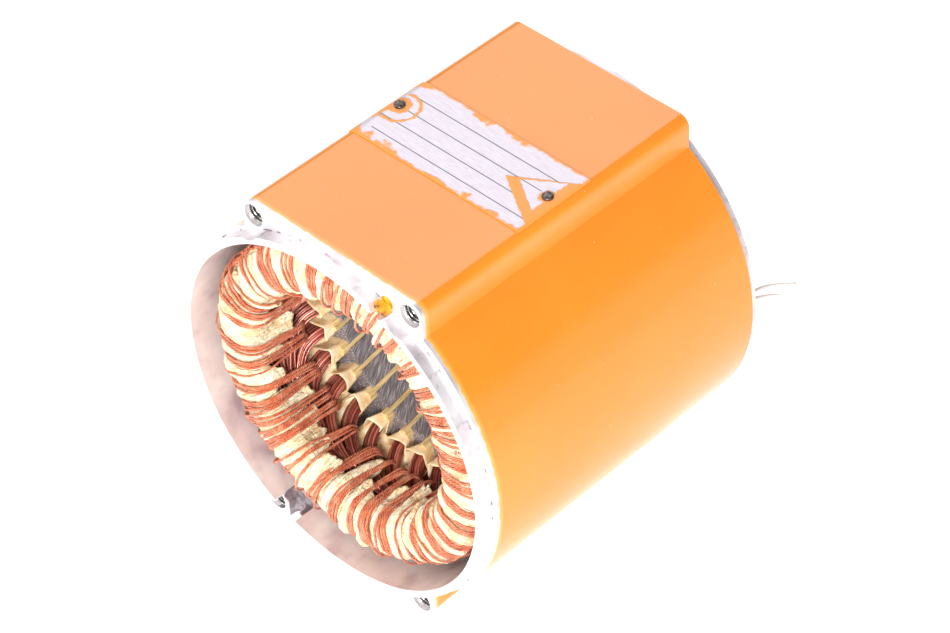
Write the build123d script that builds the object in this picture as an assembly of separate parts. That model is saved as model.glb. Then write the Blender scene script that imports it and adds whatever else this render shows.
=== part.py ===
from build123d import *
import math
import os

# Wound stator of a brushless servo motor, in its housing. Millimetres.
# The motor axis is Y, the front shoulder face is y = 0, +Z is up and the rotor space is empty.

# Housing
housing_radius = 70.0
housing_length = 125.6
block_half_width = 39.65
block_corner_radius = 4.5
bore_relief = 0.8
spigot_radius = 68.4
front_spigot_length = 4.9
rear_spigot_length = 3.0
edge_break = 0.4

# Threaded holes at the block corners, with their inserts
hole_from_side = 4.85
hole_from_flat = 5.1
insert_hole_radius = 4.15
insert_hole_depth = 19.0
insert_bore_radius = 3.4
insert_length = 15.0
insert_recess = 0.8
insert_clearance = 0.02
scallop_radius = 6.6

# Sealed grub screw in the front spigot
screw_angle = 68.8
screw_outside_spigot = 0.6
screw_radius = 2.5
screw_depth = 8.0
screw_length = 6.0
screw_hexagon_radius = 1.45
seal_pocket_radius = 3.4
seal_height = 3.6
seal_rounding = 1.6
seal_clearance = 0.15
seal_inside_spigot = 0.8

# Lead notch through the front edge: a pocket in the spigot, then a slot out of the bottom
notch_angle = -112.9
notch_width = 10.2
notch_depth = 4.6
notch_past_spigot = 0.6
notch_corner_radius = 2.0
outlet_width = 5.0
outlet_x = -26.7
outlet_top = -60.0
cut_margin = 2.0

# Laminated core
core_front = 37.0
core_length = 60.0
core_radius = 65.0
core_seat_clearance = 0.02
core_seat_overrun = 2.0
core_bore_radius = 37.5
slot_count = 27
first_slot_angle = 194.06

# Slot section: half widths, and heights outwards from the bore
opening_half_width = 0.9
lip_height = 1.0
shoulder_height = 0.8
shoulder_half_width = 2.25
slot_depth = 17.5
flank_half_width = 4.0
floor_corner_height = 1.4
slot_floor_half_width = 3.0

# Slot insulation and coil sides
liner_gap = 0.1
liner_thickness = 0.3
liner_stand_out = 3.0
wedge_gap = 0.15
wedge_recess = 0.4
wedge_thickness = 0.7
coil_gap = 0.2
separator_thickness = 0.5

# End windings: rolls of wire, wrapped in paper and laced
roll_inner_radius = 43.9
roll_outer_radius = 59.7
roll_corner_radius = 6.0
front_arm_reach = 15.0
front_roll_length = 20.6
rear_arm_reach = 10.0
rear_roll_length = 12.6
wrap_gap = 0.1
wrap_thickness = 0.8
band_gap = 0.1
band_thickness = 0.8
band_width = 3.5
band_count = 36
arm_lean = 9.0
arm_inset_inner = 0.7
arm_inset_outer = 1.3
arm_split_share = 0.45
arm_split_gap = 2.4
arm_narrowing = 0.9
layer_paper_thickness = 0.4
layer_paper_count = 9
layer_paper_gap = 4.0
layer_paper_end_gap = 0.4

# Temperature sensor with its two leads, and the star point's splice
sensor_radius = 1.3
sensor_length = 13.0
sensor_behind_roll_back = 5.0
sensor_z = 1.0
lead_radius = 0.6
lead_pitch = 1.5
splice_radius = 2.0
splice_length = 17.0
splice_angle = 205.0
splice_gap = 0.1

# Nameplate on the top flat
plate_from_left_edge = 1.05
plate_from_right_edge = 2.85
plate_front = 46.5
plate_width = 34.0
plate_thickness = 0.4
plate_gap = 0.03
left_rivet = (4.2, 19.5)
right_rivet = (4.4, 18.5)
rivet_radius = 1.15
rivet_hole_clearance = 0.05
rivet_head_radius = 2.0
rivet_head_height = 1.0
rivet_depth = 4.5

# Values that follow from the sizes above
flat_height = housing_radius
bore_radius = core_radius + bore_relief
hole_x = block_half_width - hole_from_side
hole_z = flat_height - hole_from_flat
screw_pitch_radius = spigot_radius + screw_outside_spigot
notch_pocket_radius = spigot_radius + notch_past_spigot
core_rear = core_front + core_length
slot_pitch = 360 / slot_count
skew_per_mm = -slot_pitch / core_length
span_front = core_front - liner_stand_out
span_rear = core_rear + liner_stand_out
lip_radius = core_bore_radius + lip_height
shoulder_radius = lip_radius + shoulder_height
slot_floor_radius = core_bore_radius + slot_depth
flank_radius = slot_floor_radius - floor_corner_height
wedge_nose_radius = core_bore_radius + wedge_recess
wedge_floor_radius = shoulder_radius + wedge_thickness
layer_split_radius = (wedge_floor_radius + slot_floor_radius) / 2
front_roll_back = core_front - front_arm_reach
front_roll_nose = front_roll_back - front_roll_length
rear_roll_back = core_rear + rear_arm_reach
rear_roll_nose = rear_roll_back + rear_roll_length
roll_middle_radius = (roll_inner_radius + roll_outer_radius) / 2
arm_split_radius = roll_inner_radius + arm_split_share * (roll_outer_radius - roll_inner_radius)
inner_arm_radii = (roll_inner_radius + arm_inset_inner, arm_split_radius - arm_split_gap / 2)
outer_arm_radii = (arm_split_radius + arm_split_gap / 2, roll_outer_radius - arm_inset_outer)
lacing_proud = wrap_gap + wrap_thickness + band_gap + band_thickness
rear_band_nose = rear_roll_nose + lacing_proud
sensor_axis_radius = (roll_outer_radius + lacing_proud + bore_radius) / 2
sensor_front = rear_roll_back - sensor_behind_roll_back
plate_left = plate_from_left_edge - block_half_width
plate_right = block_half_width - plate_from_right_edge
rivet_places = (
    (plate_left + left_rivet[0], plate_front + left_rivet[1]),
    (plate_right - right_rivet[0], plate_front + right_rivet[1]),
)
phase_of_coil = "uuwvvuwwv"
coil_span = 4


def prism(sketch, front, rear):
    """A sketch in X and Z, carried along Y from front to rear."""
    plane = Plane(origin=(0, front, 0), x_dir=(1, 0, 0), z_dir=(0, -1, 0))
    return extrude(plane * sketch, amount=front - rear)


def rod(radius, front, rear, x=0.0, z=0.0):
    """A round bar along Y."""
    return prism(Pos(x, z) * Circle(radius), front, rear)


def ring(outer, inner, front, rear):
    """A round tube on the motor axis."""
    return prism(Circle(outer) - Circle(inner), front, rear)


def polar(radius, angle):
    """X and Z of a point at a radius and an angle in degrees from +X towards +Z."""
    return radius * math.cos(math.radians(angle)), radius * math.sin(math.radians(angle))


def turned(shape, angle):
    """A shape turned about the motor axis, by degrees from +X towards +Z."""
    return Rot(0, -angle, 0) * shape


def slot_angle(index, y):
    """Angle of a slot's centre line at a place along the skewed core."""
    return first_slot_angle + index * slot_pitch + skew_per_mm * (y - core_front)


def section(outline, y, angle):
    """A face at y from (half width, radius) points, turned to an angle."""
    c = math.cos(math.radians(angle))
    s = math.sin(math.radians(angle))
    points = [(r * c - u * s, y, r * s + u * c) for u, r in outline]
    return make_face(Polyline(*points, close=True))


def mirrored(right_side):
    """A closed outline from its right side, listed from the motor axis outwards."""
    return right_side + [(-u, r) for u, r in reversed(right_side)]


def skewed_bar(outline, index, front=span_front, rear=span_rear):
    """A bar in one slot: straight lines join its outline at both ends of the skew."""
    ends = [section(outline, y, slot_angle(index, y)) for y in (front, rear)]
    return loft(ends, ruled=True)


def flank_at(radius):
    """Half width of the slot at a radius between its shoulder and its floor corners."""
    share = (radius - shoulder_radius) / (flank_radius - shoulder_radius)
    return shoulder_half_width + share * (flank_half_width - shoulder_half_width)


def housing_outline(grow=0.0):
    """The extruded body's section, or the same grown outwards."""
    block = RectangleRounded(
        2 * (block_half_width + grow), 2 * (flat_height + grow), block_corner_radius + grow
    )
    return Circle(housing_radius + grow) + block


def corner_places():
    """X and Z of the four threaded holes."""
    return [(sx * hole_x, sz * hole_z) for sx in (-1, 1) for sz in (-1, 1)]


def rounded_behind(cutter, direction):
    """A cutter with its two rear corners rounded as an end mill leaves them."""
    corners = cutter.edges().filter_by(direction).group_by(Axis.Y)[-1]
    return fillet(corners, notch_corner_radius)


def lead_notch():
    """The cut that lets leads out through the front edge: a wide pocket, then a narrow slot."""
    front = -front_spigot_length - cut_margin
    inner = core_radius - cut_margin
    reach = notch_pocket_radius - inner
    pocket = Pos(inner + reach / 2, 0) * Rectangle(reach, notch_width)
    pocket = rounded_behind(prism(pocket, front, notch_depth), Axis.X)
    drop = outlet_top + flat_height + cut_margin
    slot = Pos(outlet_x, outlet_top - drop / 2) * Rectangle(outlet_width, drop)
    slot = rounded_behind(prism(slot, front, notch_depth), Axis.Z)
    return turned(pocket, notch_angle) + slot


def make_housing():
    body = prism(housing_outline(), 0, housing_length)
    rims = body.faces().filter_by(Axis.Y).edges()
    body = chamfer(rims, edge_break)
    body += rod(spigot_radius, -front_spigot_length, 1)
    body += rod(spigot_radius, housing_length - 1, housing_length + rear_spigot_length)
    body -= rod(bore_radius, -front_spigot_length, core_front - core_seat_overrun)
    body -= rod(bore_radius, core_rear + core_seat_overrun, housing_length + rear_spigot_length)
    body -= rod(core_radius + core_seat_clearance, 0, housing_length)
    for x, z in corner_places():
        body -= rod(scallop_radius, -front_spigot_length, 0, x, z)
        body -= rod(insert_hole_radius, 0, insert_hole_depth, x, z)
        body -= rod(insert_hole_radius, housing_length - insert_hole_depth, housing_length, x, z)
        body -= rod(scallop_radius, housing_length, housing_length + rear_spigot_length, x, z)
    x, z = polar(screw_pitch_radius, screw_angle)
    body -= rod(seal_pocket_radius, -front_spigot_length, 0, x, z)
    body -= rod(screw_radius + insert_clearance, 0, screw_depth, x, z)
    body -= lead_notch()
    for x, y in rivet_places:
        hole = Cylinder(rivet_radius + rivet_hole_clearance, 2 * (rivet_depth + plate_thickness))
        body -= Pos(x, y, flat_height) * hole
    return body


def make_inserts(face, direction):
    """Four threaded sleeves, a little below a face; direction is +1 into a front face."""
    sleeves = []
    for x, z in corner_places():
        near = face + direction * insert_recess
        far = near + direction * insert_length
        sleeve = rod(insert_hole_radius - insert_clearance, min(near, far), max(near, far), x, z)
        sleeves.append(sleeve - rod(insert_bore_radius, min(near, far), max(near, far), x, z))
    return sleeves


def slot_outline():
    return mirrored([
        (opening_half_width, core_bore_radius - cut_margin),
        (opening_half_width, lip_radius),
        (shoulder_half_width, shoulder_radius),
        (flank_half_width, flank_radius),
        (slot_floor_half_width, slot_floor_radius),
    ])


def make_core():
    core = ring(core_radius, core_bore_radius, core_front, core_rear)
    return core - [skewed_bar(slot_outline(), k) for k in range(slot_count)]


def wedge_outline():
    return mirrored([
        (opening_half_width - wedge_gap, wedge_nose_radius),
        (opening_half_width - wedge_gap, lip_radius + wedge_gap),
        (shoulder_half_width - wedge_gap, shoulder_radius + wedge_gap),
        (shoulder_half_width - wedge_gap, wedge_floor_radius),
    ])


def liner_outline():
    """A folded channel, open towards the motor axis, as one closed outline."""
    mouth = wedge_floor_radius + wedge_gap
    outer = [
        (flank_at(mouth) - liner_gap, mouth),
        (flank_half_width - liner_gap, flank_radius - liner_gap),
        (slot_floor_half_width - liner_gap / 2, slot_floor_radius - liner_gap),
    ]
    t = liner_thickness
    inner = [
        (slot_floor_half_width - liner_gap / 2 - t / 2, slot_floor_radius - liner_gap - t),
        (flank_half_width - liner_gap - t, flank_radius - liner_gap - t / 2),
        (flank_at(mouth) - liner_gap - t, mouth),
    ]
    return outer + [(-u, r) for u, r in reversed(outer)] + [(-u, r) for u, r in reversed(inner)] + inner


def inside_liner(radius):
    """Half width left for a coil side inside the liner."""
    return flank_at(radius) - liner_gap - liner_thickness - coil_gap


def coil_outline(layer):
    """Section of one coil side: layer 0 is next to the bore, layer 1 at the slot floor."""
    if layer == 0:
        low = wedge_floor_radius + wedge_gap + coil_gap
        high = layer_split_radius - separator_thickness / 2 - coil_gap
        return mirrored([(inside_liner(low), low), (inside_liner(high), high)])
    low = layer_split_radius + separator_thickness / 2 + coil_gap
    corner = flank_radius - liner_gap - liner_thickness - coil_gap
    floor = slot_floor_radius - liner_gap - liner_thickness - 2 * coil_gap
    return mirrored([
        (inside_liner(low), low),
        (inside_liner(corner), corner),
        (slot_floor_half_width - liner_gap - liner_thickness, floor),
    ])


def arm_outline(layer):
    """The same bundle where it meets the roll."""
    flat = coil_outline(layer)
    radii = [r for _, r in flat]
    low, high = inner_arm_radii if layer == 0 else outer_arm_radii
    scale = (high - low) / (max(radii) - min(radii))
    return [(u * arm_narrowing, low + (r - min(radii)) * scale) for u, r in flat]


def coil_side(index, layer):
    """One bundle of wires: an arm from the front roll, the slot and an arm to the rear roll."""
    lean = arm_lean if layer == 0 else -arm_lean
    stations = [
        section(arm_outline(layer), front_roll_back, slot_angle(index, span_front) + lean),
        section(coil_outline(layer), span_front, slot_angle(index, span_front)),
        section(coil_outline(layer), span_rear, slot_angle(index, span_rear)),
        section(arm_outline(layer), rear_roll_back, slot_angle(index, span_rear) - lean),
    ]
    return loft(stations, ruled=True)


def phase_windings(phase):
    """The coil sides of one phase: each coil has an inner side, and an outer one four slots on."""
    sides = []
    for k in range(slot_count):
        if phase_of_coil[k % len(phase_of_coil)] == phase:
            sides.append(coil_side(k, 0))
            sides.append(coil_side((k + coil_span) % slot_count, 1))
    return sides


def make_separators():
    low = layer_split_radius - separator_thickness / 2
    high = layer_split_radius + separator_thickness / 2
    outline = mirrored([(inside_liner(low), low), (inside_liner(low), high)])
    return [skewed_bar(outline, k) for k in range(slot_count)]


def u_profile(inner, outer, nose, back, corner, grow):
    """Right half of a roll's section in radius and y: straight at the back, round at the nose."""
    sign = 1 if back > nose else -1
    low, high = inner - grow, outer + grow
    tip = nose - sign * grow
    r = corner + grow
    bend = tip + sign * r
    left = Line((low, back), (low, bend))
    turn_in = RadiusArc((low, bend), (low + r, tip), r * sign)
    top = Line((low + r, tip), (high - r, tip))
    turn_out = RadiusArc((high - r, tip), (high, bend), r * sign)
    right = Line((high, bend), (high, back))
    close = Line((high, back), (low, back))
    return make_face(left + turn_in + top + turn_out + right + close)


def roll_section(nose, back, grow):
    return u_profile(roll_inner_radius, roll_outer_radius, nose, back, roll_corner_radius, grow)


def spun(face, angle=360.0):
    """A section in the XY plane, turned about the motor axis."""
    return revolve(face, Axis.Y, angle)


def make_wrap(nose, back):
    inner = roll_section(nose, back, wrap_gap)
    outer = roll_section(nose, back, wrap_gap + wrap_thickness)
    return spun(outer - inner)


def make_bands(nose, back):
    """Cord bands round the roll: short arcs of one section, evenly spaced."""
    start = wrap_gap + wrap_thickness + band_gap
    strip = roll_section(nose, back, start + band_thickness) - roll_section(nose, back, start)
    arc = math.degrees(band_width / roll_middle_radius)
    band = spun(strip, arc)
    return [Rot(0, k * 360 / band_count, 0) * band for k in range(band_count)]


def make_layer_papers(near_slot, near_roll):
    """Sheets between the inner and the outer arms, on a cone."""
    inset = math.copysign(layer_paper_end_gap, near_roll - near_slot)
    t = layer_paper_thickness / 2
    points = [
        (layer_split_radius - t, near_slot + inset),
        (layer_split_radius + t, near_slot + inset),
        (arm_split_radius + t, near_roll - inset),
        (arm_split_radius - t, near_roll - inset),
    ]
    sheet_angle = 360 / layer_paper_count - math.degrees(layer_paper_gap / arm_split_radius)
    sheet = spun(make_face(Polyline(*points, close=True)), sheet_angle)
    return [Rot(0, k * 360 / layer_paper_count, 0) * sheet for k in range(layer_paper_count)]


def make_screw():
    x, z = polar(screw_pitch_radius, screw_angle)
    screw = rod(screw_radius, screw_depth - screw_length, screw_depth, x, z)
    hexagon = Pos(x, z) * RegularPolygon(screw_hexagon_radius, 6)
    return screw - prism(hexagon, screw_depth - screw_length, screw_depth - screw_length / 2)


def make_seal():
    """Varnish over the grub screw, domed in the spigot's pocket and trimmed to its round."""
    x, z = polar(screw_pitch_radius, screw_angle)
    foot = rod(screw_radius - insert_clearance, 0, screw_depth - screw_length, x, z)
    cap = rod(seal_pocket_radius - seal_clearance, -seal_height, 0, x, z)
    rim = cap.faces().sort_by(Axis.Y)[0].edges()
    cap = fillet(rim, seal_rounding) & rod(spigot_radius - seal_inside_spigot, -seal_height, 0)
    return cap + foot


def make_plate():
    """A thin plate that follows the flat and its rounded edges."""
    skin = housing_outline(plate_gap + plate_thickness) - housing_outline(plate_gap)
    window = Pos((plate_left + plate_right) / 2, flat_height) * Rectangle(
        plate_right - plate_left, 2 * block_corner_radius
    )
    plate = prism(skin & window, plate_front, plate_front + plate_width)
    for x, y in rivet_places:
        hole = Cylinder(rivet_radius + rivet_hole_clearance, 10 * plate_thickness)
        plate -= Pos(x, y, flat_height) * hole
    return plate


def make_rivets():
    top = flat_height + plate_gap + plate_thickness
    rivets = []
    for x, y in rivet_places:
        length = top - flat_height + rivet_depth
        shank = Pos(x, y, top - length / 2) * Cylinder(rivet_radius, length)
        head = Cylinder(rivet_head_radius, rivet_head_height)
        head = fillet(head.edges().sort_by(Axis.Z)[-1], rivet_head_height * 0.8)
        rivets.append(shank + Pos(x, y, top + rivet_head_height / 2) * head)
    return rivets


def capsule(radius, length):
    """A sleeve with rounded ends, along Z."""
    body = Cylinder(radius, length)
    return fillet(body.edges().filter_by(GeomType.CIRCLE), radius * 0.6)


def make_sensor():
    """A glass-bead sensor in its sleeve, lying along the outside of the rear roll."""
    middle = sensor_front + sensor_length / 2
    body = Cylinder(sensor_radius, sensor_length)
    body = fillet(body.edges().sort_by(Axis.Z)[0], sensor_radius * 0.8)
    return Pos(sensor_axis_radius, middle, sensor_z) * (Rot(-90, 0, 0) * body)


def make_splice():
    """The star point's insulated splice, tied down across the rear lacing."""
    y = rear_band_nose + splice_gap + splice_radius
    sleeve = Pos(roll_middle_radius, y, 0) * capsule(splice_radius, splice_length)
    return turned(sleeve, splice_angle)


lead_start = sensor_front + sensor_length
upper_lead_z = sensor_z + lead_pitch / 2
lower_lead_z = sensor_z - lead_pitch / 2
lead_routes = {
    "sensor_lead_long": (
        (sensor_axis_radius, lead_start, upper_lead_z),
        (sensor_axis_radius, lead_start + 10.0, upper_lead_z),
        (60.8, lead_start + 25.0, 0.3),
        (67.6, lead_start + 36.4, -3.3),
    ),
    "sensor_lead_short": (
        (sensor_axis_radius, lead_start, lower_lead_z),
        (sensor_axis_radius, lead_start + 9.0, lower_lead_z),
        (61.4, lead_start + 21.5, -2.4),
        (65.9, lead_start + 30.0, -5.2),
    ),
}


def corner_radii(points):
    """Radius at each corner: 0.45 of the shorter run over the tangent of half the turn."""
    radii = []
    for a, b, c in zip(points, points[1:], points[2:]):
        before = Vector(*b) - Vector(*a)
        after = Vector(*c) - Vector(*b)
        turn = math.radians(before.get_angle(after))
        radii.append(0.45 * min(before.length, after.length) / math.tan(turn / 2))
    return radii


def make_lead(name):
    points = lead_routes[name]
    radii = corner_radii(points)
    path = FilletPolyline(*points, radius=radii)
    tube = sweep(Plane(origin=path @ 0, z_dir=path % 0) * Circle(lead_radius), path)
    whole = math.pi * lead_radius**2 * path.length
    print(name, "radii", [round(r, 1) for r in radii], "length", round(path.length, 1),
          "volume share", round(tube.volume / whole, 4))
    return tube


def save(name, shapes):
    """One STEP file per node; a node of several pieces keeps them as separate solids."""
    pieces = shapes if isinstance(shapes, list) else [shapes]
    solids = [solid for piece in pieces for solid in piece.solids()]
    export_step(solids[0] if len(solids) == 1 else Compound(children=solids), f"parts/{name}.step")


os.makedirs("parts", exist_ok=True)
save("housing", make_housing())
save("front_thread_inserts", make_inserts(0, 1))
save("rear_thread_inserts", make_inserts(housing_length, -1))
save("sealed_grub_screw", make_screw())
save("varnish_seal", make_seal())
save("nameplate", make_plate())
save("nameplate_rivets", make_rivets())
save("stator_core", make_core())
save("slot_liners", [skewed_bar(liner_outline(), k) for k in range(slot_count)])
save("slot_wedges", [skewed_bar(wedge_outline(), k) for k in range(slot_count)])
save("slot_layer_separators", make_separators())
for letter in "uvw":
    save(f"phase_{letter}_coil_sides", phase_windings(letter))
save("front_end_turns", spun(roll_section(front_roll_nose, front_roll_back, 0)))
save("rear_end_turns", spun(roll_section(rear_roll_nose, rear_roll_back, 0)))
save("front_overhang_wrap", make_wrap(front_roll_nose, front_roll_back))
save("rear_overhang_wrap", make_wrap(rear_roll_nose, rear_roll_back))
save("front_lacing_bands", make_bands(front_roll_nose, front_roll_back))
save("rear_lacing_bands", make_bands(rear_roll_nose, rear_roll_back))
save("front_layer_papers", make_layer_papers(span_front, front_roll_back))
save("rear_layer_papers", make_layer_papers(span_rear, rear_roll_back))
save("winding_temperature_sensor", make_sensor())
save("star_point_splice", make_splice())
for lead in lead_routes:
    save(lead, make_lead(lead))
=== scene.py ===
# %% [markdown]
# # A wound servo motor stator in its housing
# The real thing is an enamelled aluminium housing with a laminated core pressed into it. Copper
# coils lie in the core's 27 skewed slots, and at both ends their overhangs are bent into a roll,
# wrapped in paper and laced with cord. The rigid parts come from the CAD frame and get their
# finishes here. The soft and stranded parts, which CAD holds as plain solids, are made anew.

import math

import bpy
import numpy as np
from mathutils import Matrix, Vector


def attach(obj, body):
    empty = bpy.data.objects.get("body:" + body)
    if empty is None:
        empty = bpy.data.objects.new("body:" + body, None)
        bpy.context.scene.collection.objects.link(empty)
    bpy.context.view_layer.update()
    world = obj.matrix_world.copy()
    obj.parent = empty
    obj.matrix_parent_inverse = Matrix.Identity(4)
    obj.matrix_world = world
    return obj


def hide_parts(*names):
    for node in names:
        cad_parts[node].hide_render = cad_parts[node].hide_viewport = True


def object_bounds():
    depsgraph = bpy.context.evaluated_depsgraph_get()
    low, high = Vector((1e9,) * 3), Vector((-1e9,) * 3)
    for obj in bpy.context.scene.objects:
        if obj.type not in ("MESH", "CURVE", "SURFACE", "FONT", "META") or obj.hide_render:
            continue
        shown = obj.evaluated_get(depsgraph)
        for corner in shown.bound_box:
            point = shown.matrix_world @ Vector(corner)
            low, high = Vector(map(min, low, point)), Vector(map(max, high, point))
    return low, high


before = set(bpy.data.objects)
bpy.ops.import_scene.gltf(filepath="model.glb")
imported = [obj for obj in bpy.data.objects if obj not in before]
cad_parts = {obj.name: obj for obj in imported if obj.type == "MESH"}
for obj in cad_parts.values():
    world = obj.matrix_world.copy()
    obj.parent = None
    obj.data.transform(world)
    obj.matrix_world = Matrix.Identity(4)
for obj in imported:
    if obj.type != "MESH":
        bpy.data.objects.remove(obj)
cad_low, cad_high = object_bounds()
scene = bpy.context.scene
print("CAD nodes:", len(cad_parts), "box", tuple(cad_low), tuple(cad_high))

# %% [markdown]
# ## Sizes
# These are the sizes of the CAD model in millimetres. Every new piece is worked out from them, so
# wires start where the slots end and the paper lies on the roll. Angles run from +X towards +Z.

# %% Sizes in millimetres and degrees
MM = 0.001
SLOTS = 27
FIRST_SLOT_ANGLE = 194.06
SLOT_PITCH = 360 / SLOTS
CORE_FRONT, CORE_REAR = 37.0, 97.0
SPAN_FRONT, SPAN_REAR = 34.0, 100.0
SKEW = -SLOT_PITCH / (CORE_REAR - CORE_FRONT)
ROLL_INNER, ROLL_OUTER, ROLL_CORNER = 43.9, 59.7, 6.0
ROLL_MIDDLE, WIRES_HALF_WIDTH = (ROLL_INNER + ROLL_OUTER) / 2, 7.35
ROLL_SPLIT = 51.0
FRONT_ROLL = {"nose": 1.4, "back": 22.0, "way": 1}
REAR_ROLL = {"nose": 119.6, "back": 107.0, "way": -1}
PAPER_PROUD = 0.9
BANDS = 36
HOLE_X, HOLE_Z = 34.8, 64.9
INSERT_RADIUS, INSERT_LENGTH, INSERT_RECESS = 3.4, 15.0, 0.8
INSERT_HOLE_RADIUS = 4.15
HOUSING_LENGTH, SPIGOT_RADIUS, NOTCH_RADIUS = 125.6, 68.4, 69.0
NOTCH_ACROSS, NOTCH_HALF_WIDTH = (0.9212, -0.3891), 5.1
NOTCH_X, NOTCH_DEPTH, NOTCH_TOP = -26.7, 4.7, -55.0
BORE_RADIUS = 37.5
print("slot pitch", round(SLOT_PITCH, 2), "degrees, skew", round(SKEW, 4), "degrees per mm")

# %% [markdown]
# ## Colours and nodes
# Colours are written as the sRGB hex values that a paint chart would give. The renderer wants
# linear light, so one function undoes the sRGB curve. One more function adds any shader node,
# sets its values and links its inputs, so a material reads as a short list of nodes.


# %% Colour and node helpers
def hex_linear(code):
    """Linear RGBA of an sRGB hex colour: c/12.92 below 0.04045, else ((c+0.055)/1.055)^2.4."""
    values = [int(code[i : i + 2], 16) / 255 for i in (1, 3, 5)]
    return [c / 12.92 if c <= 0.04045 else ((c + 0.055) / 1.055) ** 2.4 for c in values] + [1.0]


def node(tree, kind, inputs=(), output=0, stops=(), **settings):
    """Adds one shader node and returns one of its outputs.

    inputs are sockets to link from, or values, in order or by name. stops are a colour ramp's
    (position, colour) pairs, and the other settings are the node's own.
    """
    made = tree.nodes.new("ShaderNode" + kind)
    for key, value in settings.items():
        setattr(made, key, value)
    for key, value in inputs.items() if isinstance(inputs, dict) else enumerate(inputs):
        if isinstance(value, bpy.types.NodeSocket):
            tree.links.new(value, made.inputs[key])
        else:
            made.inputs[key].default_value = hex_linear(value) if isinstance(value, str) else value
    for k, (position, value) in enumerate(stops):
        spot = made.color_ramp.elements[k] if k < 2 else made.color_ramp.elements.new(position)
        spot.position = position
        spot.color = hex_linear(value) if isinstance(value, str) else [value] * 3 + [1.0]
    return made.outputs[output] if made.outputs else None


def new_finish(name):
    """An empty material: (material, its node tree, Object coordinates in millimetres)."""
    material = bpy.data.materials.new(name)
    material.use_nodes = True
    tree = material.node_tree
    tree.nodes.clear()
    place = node(tree, "TexCoord", output="Object")
    return material, tree, node(tree, "VectorMath", {0: place, "Scale": 1000.0}, operation="SCALE")


def close_finish(tree, inputs):
    """Ends a material with its Principled shader, fed by these values and sockets, and the output."""
    node(tree, "OutputMaterial", {"Surface": node(tree, "BsdfPrincipled", inputs)})


def mottled_finish(name, patch, stops, inputs, dimple=None, depth=0.0):
    """A material whose tone drifts over patches of a size in millimetres.

    Its tone is a ramp over noise of the patch size. With a dimple size, noise of that size times
    the depth, in metres, is the height that tilts the surface.
    """
    material, tree, vector = new_finish(name)
    drift = node(tree, "TexNoise", {"Vector": vector, "Scale": 1 / patch, "Detail": 3.0})
    inputs = inputs | {"Base Color": node(tree, "ValToRGB", {"Fac": drift}, stops=stops)}
    if dimple:
        height = node(tree, "TexNoise", {"Vector": vector, "Scale": 1 / dimple, "Detail": 3.0})
        inputs["Normal"] = node(tree, "Bump", {"Height": height, "Distance": depth})
    close_finish(tree, inputs)
    return material


def assign(material, *names):
    """Puts a material on every slot of the named CAD nodes."""
    for name in names:
        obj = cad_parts[name]
        if not obj.material_slots:
            obj.data.materials.append(material)
        for place in obj.material_slots:
            place.material = material


print("orange enamel in linear light:", [round(c, 3) for c in hex_linear("#f08a1e")])

# %% [markdown]
# ## Meshes from grids
# Each new piece is a grid of points: a shape worked out from two numbers, such as an angle round
# the motor and a distance across the roll. numpy computes all the points at once, and the faces
# join each point to its neighbours. A closed grid encloses a volume, whose sign tells whether the
# faces point outwards, so the helper turns them when they don't.


# %% Grid and mesh helpers
def polar(radius, angle, y):
    """Points at radius and angle in degrees from +X towards +Z: (r cos a, y, r sin a)."""
    turn = np.radians(angle)
    x, z = radius * np.cos(turn), radius * np.sin(turn)
    return np.stack(np.broadcast_arrays(x, y, z), axis=-1)


def grid_quads(rows, columns, close_rows=False, close_columns=True):
    """Quads of a rows by columns grid, and the same corners as (row, column) for a UV map."""
    i = np.arange(rows if close_rows else rows - 1)[:, None]
    j = np.arange(columns if close_columns else columns - 1)[None, :]
    steps = [(0, 0), (1, 0), (1, 1), (0, 1)]
    corners = [((i + di) % rows) * columns + (j + dj) % columns for di, dj in steps]
    places = [np.stack(np.broadcast_arrays(i + di, j + dj), axis=-1) for di, dj in steps]
    return np.stack(corners, axis=-1).reshape(-1, 4), np.stack(places, axis=2).reshape(-1, 4, 2)


def signed_volume(points, quads):
    """Six times the volume: the sum of a . (b x c) over each quad's two triangles."""
    a, b, c, d = (points[quads[:, k]] for k in range(4))
    return float((a * (np.cross(b, c) + np.cross(c, d))).sum())


def add_piece(name, points, quads, material, slot, caps=None, uv=None, tint=None):
    """Makes a smooth mesh from points in mm, turned outwards, riding on the one body."""
    if signed_volume(points, quads) < 0:
        quads = quads[:, ::-1]
        uv = None if uv is None else uv[:, ::-1]
        caps = None if caps is None else caps[:, ::-1]
    faces = quads.tolist() + ([] if caps is None else caps.tolist())
    mesh = bpy.data.meshes.new(name)
    mesh.from_pydata((points * MM).tolist(), [], faces)
    mesh.shade_smooth()
    if uv is not None:
        layer = mesh.uv_layers.new(name="UVMap")
        flat = np.zeros((len(mesh.loops), 2))
        flat[: uv.size // 2] = uv.reshape(-1, 2)
        layer.data.foreach_set("uv", flat.ravel())
    if tint is not None:
        mesh.attributes.new("tint", "FLOAT", "POINT").data.foreach_set("value", tint)
    mesh.materials.append(material)
    obj = bpy.data.objects.new(name, mesh)
    scene.collection.objects.link(obj)
    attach(obj, "root")
    triangles = 2 * len(quads) + (0 if caps is None else (caps.shape[1] - 2) * len(caps))
    print(name, "points", len(points), "triangles", triangles)
    return obj


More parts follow.
